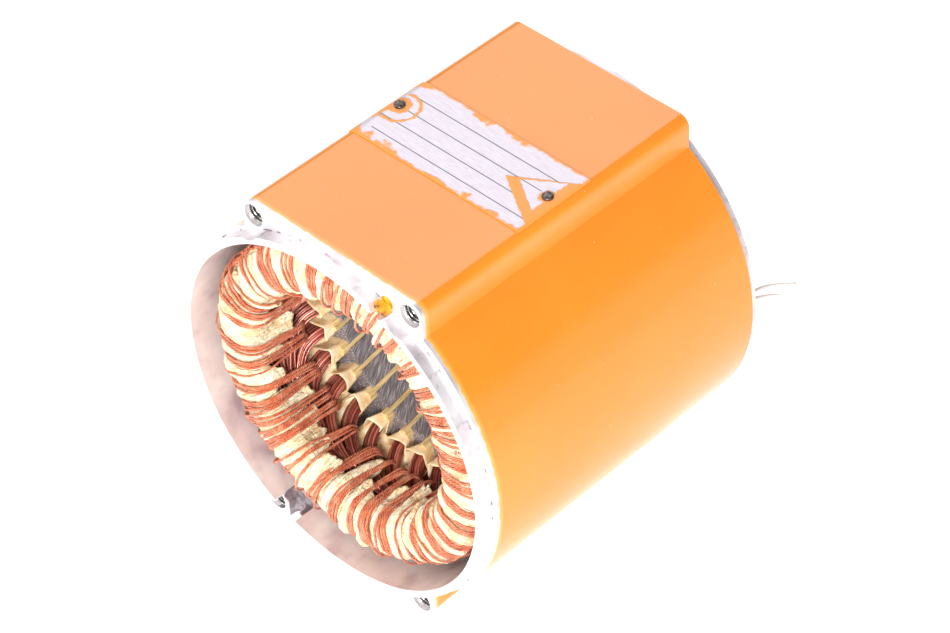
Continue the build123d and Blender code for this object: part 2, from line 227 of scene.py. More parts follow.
def tubes(paths, radius, sides, reference, aspect=(1.0, 1.0), closed=False):
    """Many round tubes at once from paths (tubes, stations, 3).

    Each ring is centre + r (a cos t n1 + b sin t n2), where n1 is the reference direction with
    its part along the path taken out, and n2 is square to both. The UV map runs once round and
    once per millimetre along.
    """
    count, stations, _ = paths.shape
    if closed:
        along = np.roll(paths, -1, axis=1) - np.roll(paths, 1, axis=1)
    else:
        along = np.gradient(paths, axis=1)
    along /= np.linalg.norm(along, axis=-1, keepdims=True)
    n1 = reference - (reference * along).sum(-1, keepdims=True) * along
    n1 /= np.linalg.norm(n1, axis=-1, keepdims=True)
    n2 = np.cross(along, n1)
    turn = np.linspace(0, 2 * np.pi, sides, endpoint=False)
    r = np.broadcast_to(radius, (count, stations))[:, :, None, None]
    wide, high = aspect[0] * np.cos(turn)[:, None], aspect[1] * np.sin(turn)[:, None]
    ring = wide * n1[:, :, None] + high * n2[:, :, None]
    points = (paths[:, :, None] + r * ring).reshape(-1, 3)
    quads, places = grid_quads(stations, sides, close_rows=closed)
    starts = np.arange(count) * stations * sides
    run = np.linalg.norm(np.roll(paths, -1, axis=1) - paths, axis=-1)
    length = np.concatenate([np.zeros((count, 1)), np.cumsum(run, axis=1)], axis=1)
    u = np.broadcast_to(places[None, :, :, 1] / sides, (count, *places.shape[:2]))
    v = length[:, places[:, :, 0]]
    first = np.arange(sides)
    ends = np.stack([first, (stations - 1) * sides + first[::-1]])
    return {
        "points": points,
        "quads": (quads[None] + starts[:, None, None]).reshape(-1, 4),
        "caps": None if closed else (ends[None] + starts[:, None, None]).reshape(-1, sides),
        "uv": np.stack([u, v], axis=-1).reshape(-1, 4, 2),
    }


def smooth_noise(shape, grain, seed):
    """Noise that repeats at its edges: white noise blurred by grain samples, unit deviation."""
    white = np.random.default_rng(seed).standard_normal(shape)
    fy = np.fft.fftfreq(shape[0])[:, None] * grain[0]
    fx = np.fft.rfftfreq(shape[1])[None, :] * grain[1]
    field = np.fft.irfft2(np.fft.rfft2(white) * np.exp(-2 * np.pi**2 * (fx**2 + fy**2)), s=shape)
    return (field - field.mean()) / field.std()


def shell(sheet, thickness, close_rows=False):
    """A thin solid from a sheet of points (rows, columns, 3).

    The back is the sheet moved against its normal, which is the cross product of the two grid
    directions. Front and back make one closed loop across each row.
    """
    rows, columns, _ = sheet.shape
    if close_rows:
        padded = np.concatenate([sheet[-1:], sheet, sheet[:1]])
        down = np.gradient(padded, axis=0)[1:-1]
    else:
        down = np.gradient(sheet, axis=0)
    normal = np.cross(down, np.gradient(sheet, axis=1))
    normal /= np.linalg.norm(normal, axis=-1, keepdims=True) + 1e-9
    loop = np.concatenate([sheet, (sheet - thickness * normal)[:, ::-1]], axis=1)
    quads, _ = grid_quads(rows, 2 * columns, close_rows=close_rows)
    if close_rows:
        return loop.reshape(-1, 3), quads
    j = np.arange(columns - 1)
    near = np.stack([j, j + 1, 2 * columns - 2 - j, 2 * columns - 1 - j], axis=-1)
    far = near[:, ::-1] + (rows - 1) * 2 * columns
    return loop.reshape(-1, 3), np.concatenate([quads, near, far])


def joined(parts):
    """Many (points, quads) pairs as one."""
    starts = np.cumsum([0] + [len(points) for points, _ in parts[:-1]])
    points = np.concatenate([points for points, _ in parts])
    return points, np.concatenate([quads + start for start, (_, quads) in zip(starts, parts)])


print("helpers ready; a 3 by 4 closed grid has", len(grid_quads(3, 4)[0]), "quads")

# %% [markdown]
# ## Camera, floor and light
# The camera looks down on the front left corner through a long lens, as for a catalogue picture.
# The stator stands on its lower flat on a light table, a matt sheet lit from below, which keeps
# shadows faint. Two soft boxes beside the camera reach into the open bore, and one stands where
# the top flat reflects it.

# %% Camera
azimuth, elevation, roll = 0.7776, 0.7499, -0.0232
distance = 1.04055
target = Vector((0.023876, 0.039647, 0.030722))
forward = Vector(
    (-math.sin(azimuth) * math.cos(elevation), math.cos(azimuth) * math.cos(elevation), -math.sin(elevation))
)
level = Vector((math.cos(azimuth), math.sin(azimuth), 0.0))
upward = level.cross(forward)
across = math.cos(roll) * level + math.sin(roll) * upward
upright = -math.sin(roll) * level + math.cos(roll) * upward
lens = bpy.data.cameras.new("catalogue_camera")
lens.lens = 122.5
lens.sensor_width = 36.0
lens.clip_end = 20.0
camera = bpy.data.objects.new("catalogue_camera", lens)
turn = Matrix((across, upright, -forward)).transposed().to_4x4()
camera.matrix_world = Matrix.Translation(target - forward * distance) @ turn
scene.collection.objects.link(camera)
scene.camera = camera
print("camera at", [round(c, 3) for c in camera.location])

# %% Floor
# Opal acrylic sheet: matt, very slightly mottled, glowing from the lamps below it.
opal_sheet = mottled_finish(
    "opal_acrylic_sheet",
    250.0,
    [(0.3, "#f7f7f7"), (0.7, "#fbfbfb")],
    {"Roughness": 0.65, "Emission Color": (1.0, 1.0, 1.0, 1.0), "Emission Strength": 0.55},
)

# The sheet lies a tenth of a millimetre under the lower flat, so the two faces never coincide.
half = 1.6
height = cad_low[2] - 0.0001
corners = [(-half, -half, height), (half, -half, height), (half, half, height), (-half, half, height)]
mesh = bpy.data.meshes.new("studio_floor")
mesh.from_pydata(corners, [], [(0, 1, 2, 3)])
floor = bpy.data.objects.new("studio_floor", mesh)
mesh.materials.append(opal_sheet)
scene.collection.objects.link(floor)
print("floor", 2 * half, "m square")


# %% Soft boxes and room
def soft_box(name, place, aim, size, power):
    """A square area light at a place, turned to face the aim point."""
    lamp = bpy.data.lights.new(name, "AREA")
    lamp.shape = "SQUARE"
    lamp.size = size
    lamp.energy = power
    obj = bpy.data.objects.new(name, lamp)
    way = (Vector(aim) - Vector(place)).to_track_quat("-Z", "Y")
    obj.matrix_world = Matrix.Translation(place) @ way.to_matrix().to_4x4()
    scene.collection.objects.link(obj)
    return obj


soft_box("left_soft_box", (-1.05, -1.0, 0.85), (0, 0.02, 0.0), 0.6, 6)
soft_box("right_soft_box", (0.75, -1.2, 0.75), (0, 0.02, 0.0), 0.6, 32)
soft_box("top_soft_box", (-0.62, 0.68, 0.95), (0, 0.06, 0.06), 0.8, 4.5)
room = bpy.data.worlds.new("white_room")
room.use_nodes = True
room.node_tree.nodes.clear()
way_up = node(room.node_tree, "SeparateXYZ", {
    "Vector": node(room.node_tree, "TexCoord", output="Generated")
}).node
brightness = node(room.node_tree, "ValToRGB", {"Fac": way_up.outputs["Z"]}, stops=[(0.12, 1.0), (0.3, 0.3)])
glow = node(room.node_tree, "Background", {"Color": (1.0, 1.0, 1.0, 1.0), "Strength": brightness})
node(room.node_tree, "OutputWorld", {"Surface": glow})
scene.world = room
scene.view_settings.view_transform = "Standard"

# %% [markdown]
# ## Housing
# The housing is cast aluminium, sprayed with orange gloss enamel and then machined where the end
# shields seat. So the finish changes by place: paint on the outside, bare bright metal on
# the end faces, spigots, bore, threaded holes and lead notch. The masks are worked out in the
# shader from Object coordinates, in millimetres, because each border is a plane or a cylinder.


# %% Shader arithmetic
def span(tree, a, b):
    """Length of the line whose parts along two axes are a and b: sqrt(a^2 + b^2)."""
    squares = [node(tree, "Math", [side, side], operation="MULTIPLY") for side in (a, b)]
    return node(tree, "Math", [node(tree, "Math", squares, operation="ADD")], operation="SQRT")


def apart(tree, a, b):
    """Distance between two values: |a - b|."""
    return node(tree, "Math", [node(tree, "Math", [a, b], operation="SUBTRACT")], operation="ABSOLUTE")


def axes(tree, vector):
    """(x, y, z, distance from the motor axis) of a point."""
    parts = node(tree, "SeparateXYZ", {"Vector": vector}).node.outputs
    return parts["X"], parts["Y"], parts["Z"], span(tree, parts["X"], parts["Z"])


def mask(tree, steps):
    """Product of soft steps, each going from 0 to 1 as its value goes from start to end."""
    masks = [
        node(tree, "MapRange", {"Value": value, "From Min": start, "From Max": end})
        for value, start, end in steps
    ]
    while len(masks) > 1:
        masks[:2] = [node(tree, "Math", masks[:2], operation="MULTIPLY")]
    return masks[0]


# %% Enamel and bare aluminium
# Gloss alkyd enamel over cast aluminium: orange peel about 1.5 mm across, a few specks, a thin
# yellow feathered edge where the spray met the masked shoulder, and turned metal inside of it.
# Most borders are soft over a tenth of a millimetre; the feathered one is ragged and wider.
enamel, tree, vector = new_finish("orange_gloss_enamel_on_aluminium")
x, y, z, radius = axes(tree, vector)
ragged = node(tree, "TexNoise", {"Vector": vector, "Scale": 1 / 2.6, "Detail": 3.0})
ragged = node(tree, "Math", [ragged, 1.3, -0.65], operation="MULTIPLY_ADD")
front_depth = node(tree, "Math", [y, ragged], operation="ADD")
rear_depth = node(tree, "Math", [HOUSING_LENGTH, y], operation="SUBTRACT")
away_x = node(tree, "Math", [node(tree, "Math", [x], operation="ABSOLUTE"), HOLE_X], operation="SUBTRACT")
away_z = node(tree, "Math", [node(tree, "Math", [z], operation="ABSOLUTE"), HOLE_Z], operation="SUBTRACT")
painted = mask(tree, [
    (front_depth, 1.65, 2.15),
    (rear_depth, 0.2, 0.4),
    (radius, NOTCH_RADIUS + 0.25, NOTCH_RADIUS + 0.35),
    (span(tree, away_x, away_z), INSERT_HOLE_RADIUS + 0.15, INSERT_HOLE_RADIUS + 0.25),
])
# Paint is kept beside the lead notch, behind its floor and above its top.
kept = node(tree, "MapRange", {"Value": apart(tree, x, NOTCH_X), "From Min": 2.6, "From Max": 2.7})
for value, border in ((y, NOTCH_DEPTH), (z, NOTCH_TOP)):
    beyond = node(tree, "MapRange", {"Value": value, "From Min": border - 0.05, "From Max": border + 0.05})
    kept = node(tree, "Math", [kept, beyond], operation="MAXIMUM")
painted = node(tree, "Math", [painted, kept], operation="MULTIPLY")
bare = node(tree, "Math", [1.0, painted], operation="SUBTRACT")

# Paint: two close oranges, yellower where the coat is thin, with a few pale dust specks.
tone = node(tree, "TexNoise", {"Vector": vector, "Scale": 1 / 45.0, "Detail": 3.0})
tone = node(tree, "ValToRGB", {"Fac": tone}, stops=[(0.3, "#f18a20"), (0.7, "#f49127")])
dust = node(tree, "TexNoise", {"Vector": vector, "Scale": 1 / 1.1, "Detail": 1.0})
orange = tone
for value, start, end, amount, colour in (
    (front_depth, 3.8, 2.2, 0.75, "#f3b95a"), (dust, 0.785, 0.805, 0.5, "#ffe3bd")
):
    spot = node(tree, "MapRange", {"Value": value, "From Min": start, "From Max": end, "To Max": amount})
    orange = node(tree, "Mix", {0: spot, 6: orange, 7: colour}, 2, data_type="RGBA")

# Bare metal: stains, a broken dark line in the spigot's shoulder, and painted shade in the notch.
turned_marks = node(tree, "Mapping", {"Vector": vector, "Scale": [1 / mm for mm in (7.2, 0.264, 7.2)]})
turned_marks = node(tree, "TexNoise", {"Vector": turned_marks, "Scale": 1.0, "Detail": 4.0})
stains = node(tree, "TexNoise", {"Vector": vector, "Scale": 1 / 11.0, "Detail": 5.0})
metal = node(tree, "ValToRGB", {"Fac": stains}, stops=[(0.3, "#cfc2c8"), (0.48, "#ece5e8"), (0.7, "#f7f3f5")])
broken = node(tree, "TexNoise", {"Vector": vector, "Scale": 1 / 5.0, "Detail": 4.0})
dashes = mask(tree, [
    (radius, SPIGOT_RADIUS - 0.03, SPIGOT_RADIUS + 0.07),
    (radius, SPIGOT_RADIUS + 0.55, SPIGOT_RADIUS + 0.45),
    (broken, 0.54, 0.58),
])
aside = [node(tree, "Math", pair, operation="MULTIPLY") for pair in zip((x, z), NOTCH_ACROSS)]
aside = node(tree, "Math", [node(tree, "Math", aside, operation="ADD")], operation="ABSOLUTE")
in_notch = mask(tree, [
    (aside, NOTCH_HALF_WIDTH + 0.17, NOTCH_HALF_WIDTH + 0.07),
    (z, NOTCH_TOP + 0.05, NOTCH_TOP - 0.05),
    (y, NOTCH_DEPTH + 0.2, NOTCH_DEPTH),
    (y, 0.35, 0.65),
])
# The notch's dark grey, a little mottled, is painted shade of the deep pocket.
notch_shade = node(tree, "TexNoise", {"Vector": vector, "Scale": 1 / 2.5, "Detail": 3.0})
notch_shade = node(tree, "ValToRGB", {"Fac": notch_shade}, stops=[(0.35, "#5b4e54"), (0.65, "#a3959c")])
for place, amount, colour in ((dashes, 0.8, "#3a3335"), (in_notch, 0.9, notch_shade)):
    place = node(tree, "Math", [place, amount], operation="MULTIPLY")
    metal = node(tree, "Mix", {0: place, 6: metal, 7: colour}, 2, data_type="RGBA")

gloss = node(tree, "Math", [painted, -0.28], operation="MULTIPLY")
dull = node(tree, "Math", [stains, 0.12, 0.36], operation="MULTIPLY_ADD")
lathe = node(tree, "Math", [turned_marks, bare], operation="MULTIPLY")
peel = node(tree, "TexNoise", {"Vector": vector, "Scale": 1 / 1.6, "Detail": 2.0})
peel = node(tree, "Math", [peel, painted], operation="MULTIPLY")
turned = node(tree, "Bump", {"Height": lathe, "Distance": 0.00008})
close_finish(tree, {
    "Base Color": node(tree, "Mix", {0: painted, 6: metal, 7: orange}, 2, data_type="RGBA"),
    "Metallic": node(tree, "Math", [painted, -0.55, 0.55], operation="MULTIPLY_ADD"),
    "Roughness": node(tree, "Math", [gloss, dull], operation="ADD"),
    "IOR": 1.6,
    "Normal": node(tree, "Bump", {"Height": peel, "Distance": 0.00006, "Normal": turned}),
})
assign(enamel, "housing")
print(enamel.name, "has", len(tree.nodes), "nodes")

# %% Seal, screw and rivets
# Amber insulating varnish: set glassy and deep, so light goes in and comes back warm.
amber = mottled_finish(
    "amber_varnish_drop",
    2.5,
    [(0.36, "#7a4414"), (0.46, "#e09a1e"), (0.65, "#fbc24a")],
    {"Roughness": 0.08, "IOR": 1.55, "Transmission Weight": 0.1},
)
assign(amber, "varnish_seal")

# Blackened steel: dark, half matt, worn brighter in patches.
black_steel = mottled_finish(
    "blackened_steel",
    0.8,
    [(0.35, "#453c3a"), (0.65, "#8a7d78")],
    {"Metallic": 1.0, "Roughness": 0.42},
    dimple=0.4,
    depth=0.00008,
)
assign(black_steel, "sealed_grub_screw", "nameplate_rivets")
print("small fixings done")

# %% [markdown]
# ## Laminated core
# The core is a stack of thin electrical steel sheets. After stacking, its bore is ground, which
# leaves fine slanting scratches on the teeth, dark with varnish. Lamination lines run round it.

# %% Electrical steel
# Varnished silicon steel: half-bright grey. Real sheets are 0.5 mm; drawn at 1 mm so they show.
# The wave node repeats every 2 pi / 20 units at scale 1. Round the bore, the pattern is unrolled:
# the angle times the bore's radius runs along X, so scratches slant the same way on every tooth.
SHEET_DRAWN = 1.0
lamination, tree, vector = new_finish("varnished_electrical_steel")
x, y, z, radius = axes(tree, vector)
sheets = {"Vector": vector, "Scale": math.pi / 10 / SHEET_DRAWN, "Distortion": 0.6}
sheets = node(tree, "TexWave", sheets, output="Fac", bands_direction="Y")
arc = node(tree, "Math", [node(tree, "Math", [z, x], operation="ARCTAN2"), BORE_RADIUS], operation="MULTIPLY")
unrolled = node(tree, "CombineXYZ", {"X": arc, "Y": y, "Z": radius})
tilted = node(tree, "Mapping", {"Vector": unrolled, "Rotation": (0.0, 0.0, 0.95)})
scratch = node(tree, "Mapping", {"Vector": tilted, "Scale": [1 / mm for mm in (4.76, 0.306, 1.02)]})
scratch = node(tree, "TexNoise", {"Vector": scratch, "Scale": 1.0, "Detail": 3.0})
steel_stops = [(0.38, "#746d71"), (0.54, "#938b8e"), (0.68, "#d6d0cf")]
lines = node(tree, "Bump", {"Height": sheets, "Distance": 0.00003})
close_finish(tree, {
    "Base Color": node(tree, "ValToRGB", {"Fac": scratch}, stops=steel_stops),
    "Metallic": 0.35,
    "Roughness": node(tree, "Math", [scratch, 0.3, 0.3], operation="MULTIPLY_ADD"),
    "Normal": node(tree, "Bump", {"Height": scratch, "Distance": 0.00022, "Normal": lines}),
})
assign(lamination, "stator_core")
print("core bore scratches are about half a millimetre wide")

# %% [markdown]
# ## Slot insulation
# A folded film lines each slot, and a pressed laminate wedge closes its mouth. Where the film
# leaves the core it is folded back and flares like a cuff, to keep the wires off the sheets' edge.
# CAD holds the straight lengths; the flared cuffs are new, as thin shells bent round each bundle.

# %% Film and laminate
# Aramid-faced polyester film: tan, waxy, creased, a little light through it at the edges.
tan_film = mottled_finish(
    "tan_slot_film",
    4.0,
    [(0.3, "#e8bb80"), (0.5, "#f8d8aa"), (0.72, "#feecd0")],
    {"Roughness": 0.45, "Subsurface Weight": 0.15, "Subsurface Scale": 0.001},
    dimple=1.5,
    depth=0.0003,
)
assign(tan_film, "slot_liners", "slot_layer_separators")

# Resin-bonded paper laminate: pale golden brown with a long grain and a satin skin.
laminate, tree, vector = new_finish("golden_wedge_laminate")
grain = node(tree, "Mapping", {"Vector": vector, "Scale": [1 / mm for mm in (0.7, 9.8, 0.7)]})
grain = node(tree, "TexNoise", {"Vector": grain, "Scale": 1.0, "Detail": 4.0})
close_finish(tree, {
    "Base Color": node(tree, "ValToRGB", {"Fac": grain}, stops=[(0.3, "#bf9c62"), (0.7, "#ecd29c")]),
    "Roughness": 0.4,
    "Normal": node(tree, "Bump", {"Height": grain, "Distance": 0.00008}),
})
assign(laminate, "slot_wedges")
print("film and laminate on", SLOTS, "slots")


# %% Flared cuffs
def slot_angle(index, y):
    """Angle of a slot's centre line at y: it turns steadily along the skewed core."""
    return FIRST_SLOT_ANGLE + index * SLOT_PITCH + SKEW * (y - CORE_FRONT)


# The cuff's floor and the far end of its walls, as radii. Real film is 0.25 mm; it is drawn a
# little thicker, so its edge shows.
CUFF_FLOOR, CUFF_REACH, FILM_DRAWN = 39.6, 50.5, 0.28


def cuff(index, face, sign, rng):
    """One folded cuff as a thin shell.

    Across, the sheet follows a trough: down one wall, over a flat floor that faces the motor
    axis, and up the other wall. Along, its floor widens from the slot's mouth to the free end.
    """
    rows, columns = 9, 17
    v = np.linspace(0, 1, rows)[:, None]
    t = np.linspace(-1, 1, columns)[None, :]
    floor_share = 0.5
    flat = np.clip(t / floor_share, -1, 1)
    wall = np.clip((np.abs(t) - floor_share) / (1 - floor_share), 0, 1)
    flare = 1.7 + rng.uniform(1.0, 2.0) * v**1.2
    lift = CUFF_FLOOR + rng.uniform(-0.8, 0.9) * v + 0.7 * (1 - flat**2) * v * rng.uniform(-1, 1)
    reach = CUFF_REACH - 4.5 * v * rng.uniform(0.4, 1.2)
    u = flat * flare + np.sign(t) * wall * (1.6 - 0.9 * v) + 0.35 * rng.standard_normal() * v
    r = lift + (reach - lift) * wall + 0.35 * np.sin(3 * np.pi * t + rng.uniform(0, 6)) * v * wall
    length = rng.uniform(6.2, 8.0)
    end = length * v * (1 + 0.10 * rng.standard_normal() * flat + 0.06 * np.cos(5 * t + rng.uniform(0, 6)))
    y = face - sign * (end - 0.1)
    angle = slot_angle(index, np.clip(y, SPAN_FRONT, SPAN_REAR)) + np.degrees(u / r)
    return shell(polar(np.hypot(r, u), angle, y), FILM_DRAWN * sign)


rng = np.random.default_rng(3)
for end, face, sign in (("front", CORE_FRONT, 1), ("rear", CORE_REAR, -1)):
    points, quads = joined([cuff(k, face, sign, rng) for k in range(SLOTS)])
    add_piece(f"{end}_liner_cuffs", points, quads, tan_film, "liner_film")

# %% [markdown]
# ## Copper
# Each slot holds two coil sides, one above the other. Past the slot the bundle bends sideways like
# a quarter of an ellipse and dives into the roll: the inner ones one way, the outer ones the
# other, which makes the overhang's crossing pattern. A coil side is thirty round wires.

# %% Enamelled copper
# Polyester-imide enamelled copper wire: dark red-brown, glassy, each wire catching its own line.
copper, tree, vector = new_finish("enamelled_copper_wire")
tint = node(tree, "Attribute", output="Fac", attribute_name="tint")
drift = node(tree, "TexNoise", {"Vector": vector, "Scale": 1 / 2.0, "Detail": 3.0})
shade = node(tree, "Math", [tint, node(tree, "Math", [drift, 0.25], operation="MULTIPLY")], operation="ADD")
ripple = node(tree, "TexNoise", {"Vector": vector, "Scale": 1 / 0.5, "Detail": 3.0})
copper_stops = [(0.15, "#75372d"), (0.6, "#b5594a"), (1.0, "#e79a80")]
close_finish(tree, {
    "Base Color": node(tree, "ValToRGB", {"Fac": shade}, stops=copper_stops),
    "Metallic": 0.6,
    "Roughness": 0.3,
    "Coat Weight": 0.8,
    "Coat Roughness": 0.15,
    "Normal": node(tree, "Bump", {"Height": ripple, "Distance": 0.00002}),
})

# The wires deep in the roll are the same copper; under them a plain core in painted shade blocks the view.
painted_shade_roll_core = mottled_finish(
    "shaded_copper_core",
    2.0,
    [(0.3, "#2c1210"), (0.7, "#4b1f1a")],
    {"Metallic": 0.75, "Roughness": 0.5},
)
print(copper.name, "and", painted_shade_roll_core.name)


# %% Wire bundles
WIRE_RADIUS = 0.43
WIRE_ROWS, WIRE_COLUMNS = 6, 5
PHASE_OF_COIL = "uuwvvuwwv"
COIL_SPAN = 4
SLOT_LAYERS = ((40.85, 46.2), (48.1, 53.7))
ARM_LAYERS = ((45.1, 49.3), (52.7, 57.9))
# How far each end's arms go along Y, and how far round they sweep in degrees.
FRONT_DROP, FRONT_SWEEP = 20.0, 45.0
REAR_DROP, REAR_SWEEP = 14.0, 50.0


def bundle_width(radius):
    """Half width in the slot, which opens outwards up to its floor corners."""
    return np.where(radius < 53, 1.82 + 0.122 * (radius - 40.3), 2.6) - WIRE_RADIUS


def arm_paths(index, layer, sign, start, drop, sweep, places):
    """Wires from one end of a slot into the roll.

    Along a quarter turn p, y moves by drop sin p and the angle by sweep (1 - cos p), while the
    radius eases from the slot's layer to the roll's.
    """
    across, up = places
    p = np.linspace(0, math.radians(78), 13)[None, :]
    low, high = SLOT_LAYERS[layer]
    arm_low, arm_high = ARM_LAYERS[layer]
    slot_r = low + (high - low) * up
    arm_r = arm_low + (arm_high - arm_low) * up
    ease = np.clip(np.sin(p) / 0.6, 0, 1)
    ease = ease * ease * (3 - 2 * ease)
    r = slot_r + (arm_r - slot_r) * ease
    half = bundle_width(slot_r) * (1 + 0.25 * np.sin(2 * p))
    u = across * half
    turn_sign = sign * (1 if layer == 0 else -1)
    y = start - sign * drop * np.sin(p) * (1 - 0.045 * across * turn_sign * np.sin(p))
    angle = slot_angle(index, start) + turn_sign * sweep * (1 - np.cos(p)) + np.degrees(u / r)
    return polar(np.hypot(r, u), angle, y)


def bundle(index, layer, rng):
    """All wires of one coil side: rear arm, slot and front arm as one run of stations."""
    grid = np.meshgrid(np.linspace(-1, 1, WIRE_COLUMNS), np.linspace(0, 1, WIRE_ROWS))
    across, up = (g.reshape(-1, 1) for g in grid)
    across = across + rng.uniform(-0.13, 0.13, across.shape)
    up = np.clip(up + rng.uniform(-0.06, 0.06, up.shape), 0, 1)
    places = (across, up)
    sweep = FRONT_SWEEP * rng.uniform(0.92, 1.1)
    front = arm_paths(index, layer, 1, SPAN_FRONT, FRONT_DROP, sweep, places)
    rear = arm_paths(index, layer, -1, SPAN_REAR, REAR_DROP, REAR_SWEEP, places)
    wobble = rng.standard_normal((len(up), 1, 3)) * 0.22 * np.linspace(1, 0, 13)[None, :, None]
    front, rear = front[:, ::-1] + wobble, rear + wobble[:, ::-1]
    return np.concatenate([front, rear], axis=1)


def outward(paths):
    """Unit vector from the motor axis through each point."""
    flat = paths * np.array([1.0, 0.0, 1.0])
    return flat / np.linalg.norm(flat, axis=-1, keepdims=True)


# %% Wires round the roll
def roll_section(angle, shrink):
    """A rounded square round the roll's middle: half sizes times sign(cos) |cos|^0.7, and sine."""
    turn = np.radians(angle)
    across, deep = (np.sign(wave) * np.abs(wave) ** 0.7 for wave in (np.cos(turn), np.sin(turn)))
    return ROLL_MIDDLE + (WIRES_HALF_WIDTH - shrink) * across, deep


def roll_depth(roll):
    """The y of the wires' middle and half their depth: they start 0.6 mm behind the nose."""
    depth = 0.39 * abs(roll["back"] - roll["nose"])
    return roll["nose"] + roll["way"] * (0.6 + depth), depth


def roll_wires(roll, seed):
    """Closed rings of wire over the roll's surface, each wandering a little across it."""
    count, stations = 58, 240
    middle, depth = roll_depth(roll)
    theta = np.linspace(0, 360, stations, endpoint=False)[None, :]
    wander = 5.5 * smooth_noise((count, stations), (1.6, 7.0), seed)
    sink = 0.35 * smooth_noise((count, stations), (0.4, 6.0), seed + 1)
    section = np.linspace(0, 360, count, endpoint=False)[:, None] + wander
    r, deep = roll_section(section, 0.4 + np.abs(sink))
    return polar(r, theta, middle + roll["way"] * (depth - np.abs(sink)) * deep)


for end, roll, seed in (("front", FRONT_ROLL, 31), ("rear", REAR_ROLL, 33)):
    rings = roll_wires(roll, seed)
    made = tubes(rings, WIRE_RADIUS, 5, outward(rings) + [0.0, 0.4, 0.0], closed=True)
    tint = np.repeat(np.random.default_rng(seed).uniform(0, 0.8, len(rings)), rings.shape[1] * 5)
    strands = add_piece(f"{end}_roll_wires", **made, material=copper, slot="copper_wire", tint=tint)
    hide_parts(f"{end}_end_turns")
    theta = np.linspace(0, 360, 180, endpoint=False)[:, None]
    r, deep = roll_section(np.linspace(0, 360, 24, endpoint=False)[None, :], 1.0)
    middle, depth = roll_depth(roll)
    core = polar(r, theta, middle + roll["way"] * (depth - 0.6) * deep).reshape(-1, 3)
    quads = grid_quads(180, 24, close_rows=True)[0]
    add_piece(f"{end}_roll_core", core, quads, painted_shade_roll_core, "copper_wire")

# %% Phase windings
rng = np.random.default_rng(11)
for phase in "uvw":
    coils = [k for k in range(SLOTS) if PHASE_OF_COIL[k % 9] == phase]
    sides = [(k, 0) for k in coils] + [((k + COIL_SPAN) % SLOTS, 1) for k in coils]
    paths = np.concatenate([bundle(k, layer, rng) for k, layer in sides])
    made = tubes(paths, WIRE_RADIUS, 5, outward(paths))
    tint = np.repeat(rng.uniform(0, 0.8, len(paths)), paths.shape[1] * 5)
    wires = add_piece(f"phase_{phase}_wires", **made, material=copper, slot="copper_wire", tint=tint)
    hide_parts(f"phase_{phase}_coil_sides")

# %% [markdown]
# ## Paper wrap
# Crepe paper is wound over the roll before lacing. Between the cords it puffs out, under them it
# is pinched, and at the inside it ends in pleated tongues over the copper. It is one sheet carried
# round the motor along a U-shaped line, pushed in and out by the pleats.


# %% The roll's U-shaped line
def roll_line(roll, grow, lead_in, lead_out, count):
    """Radius, y and outward normal along the roll's section, grown outwards.

    The line runs up the inner wall, round the nose and down the outer wall. lead_in and lead_out
    lengthen both walls past the roll's back.
    """
    sign = roll["way"]
    low, high = ROLL_INNER - grow, ROLL_OUTER + grow
    c = ROLL_CORNER + grow
    wall = abs(roll["back"] - roll["nose"]) - ROLL_CORNER
    pieces = [lead_in + wall, c * math.pi / 2, high - low - 2 * c, c * math.pi / 2, wall + lead_out]
    stops = np.concatenate([[0], np.cumsum(pieces)])
    s = np.linspace(0, stops[-1], count)
    turn = np.interp(s, stops, [0, 0, 90, 90, 180, 180])
    bend = np.interp(s, stops, [low + c, low + c, low + c, high - c, high - c, high - c])
    drop = np.interp(s, stops, [lead_in + wall, 0, 0, 0, 0, -(wall + lead_out)])
    rise = np.abs(drop)
    n_r, n_y = -np.cos(np.radians(turn)), np.sin(np.radians(turn))
    r = bend + c * n_r
    y = roll["nose"] + sign * (ROLL_CORNER - c * n_y + rise)
    return r, y, n_r, -sign * n_y, s


r, y, n_r, n_y, s = roll_line(FRONT_ROLL, PAPER_PROUD, 0, 0, 9)
print("wrap runs", round(s[-1], 1), "mm over the roll, nose at y", round(y.min(), 2))

# %% Crepe paper
# Unbleached crepe paper: cream, matt, fibrous, wrinkled across; light soaks in and glows a little.
crepe, tree, vector = new_finish("cream_crepe_paper")
x, y, z, radius = axes(tree, vector)
paper = node(tree, "TexNoise", {"Vector": vector, "Scale": 1 / 7.0, "Detail": 4.0})
paper = node(tree, "ValToRGB", {"Fac": paper}, stops=[(0.28, "#e9c995"), (0.5, "#f9e8c4"), (0.72, "#fff6de")])
resin = node(tree, "TexNoise", {"Vector": vector, "Scale": 1 / 9.0, "Detail": 2.0})
arc = node(tree, "Math", [node(tree, "Math", [z, x], operation="ARCTAN2"), ROLL_MIDDLE], operation="MULTIPLY")
unrolled = node(tree, "CombineXYZ", {"X": arc, "Y": y, "Z": radius})
creases = []
for sizes in ((1.5, 7.5, 7.5), (5.6, 2.45, 2.45)):
    waves = node(tree, "Mapping", {"Vector": unrolled, "Scale": [1 / mm for mm in sizes]})
    waves = node(tree, "TexNoise", {"Vector": waves, "Scale": 1.0, "Detail": 2.0})
    creases.append(apart(tree, waves, 0.5))
pleats, crossed = creases
folds = node(tree, "Math", [pleats, 1.6, crossed], operation="MULTIPLY_ADD")
# Resin stains darken the paper at random, and painted shade darkens the valleys along the pleats.
for value, start, end, amount, colour in (
    (resin, 0.62, 0.7, 0.4, "#d09a50"), (pleats, 0.06, 0.0, 0.45, "#b8874a")
):
    spot = node(tree, "MapRange", {"Value": value, "From Min": start, "From Max": end, "To Max": amount})
    paper = node(tree, "Mix", {0: spot, 6: paper, 7: colour}, 2, data_type="RGBA")
close_finish(tree, {
    "Base Color": paper,
    "Roughness": 0.8,
    "Subsurface Weight": 0.12,
    "Subsurface Scale": 0.0015,
    "Normal": node(tree, "Bump", {"Height": folds, "Distance": 0.0016}),
})
print(crepe.name)


# %% Wrap pieces
# Thicker than real crepe, so that its torn edges show.
PAPER_DRAWN = 0.35


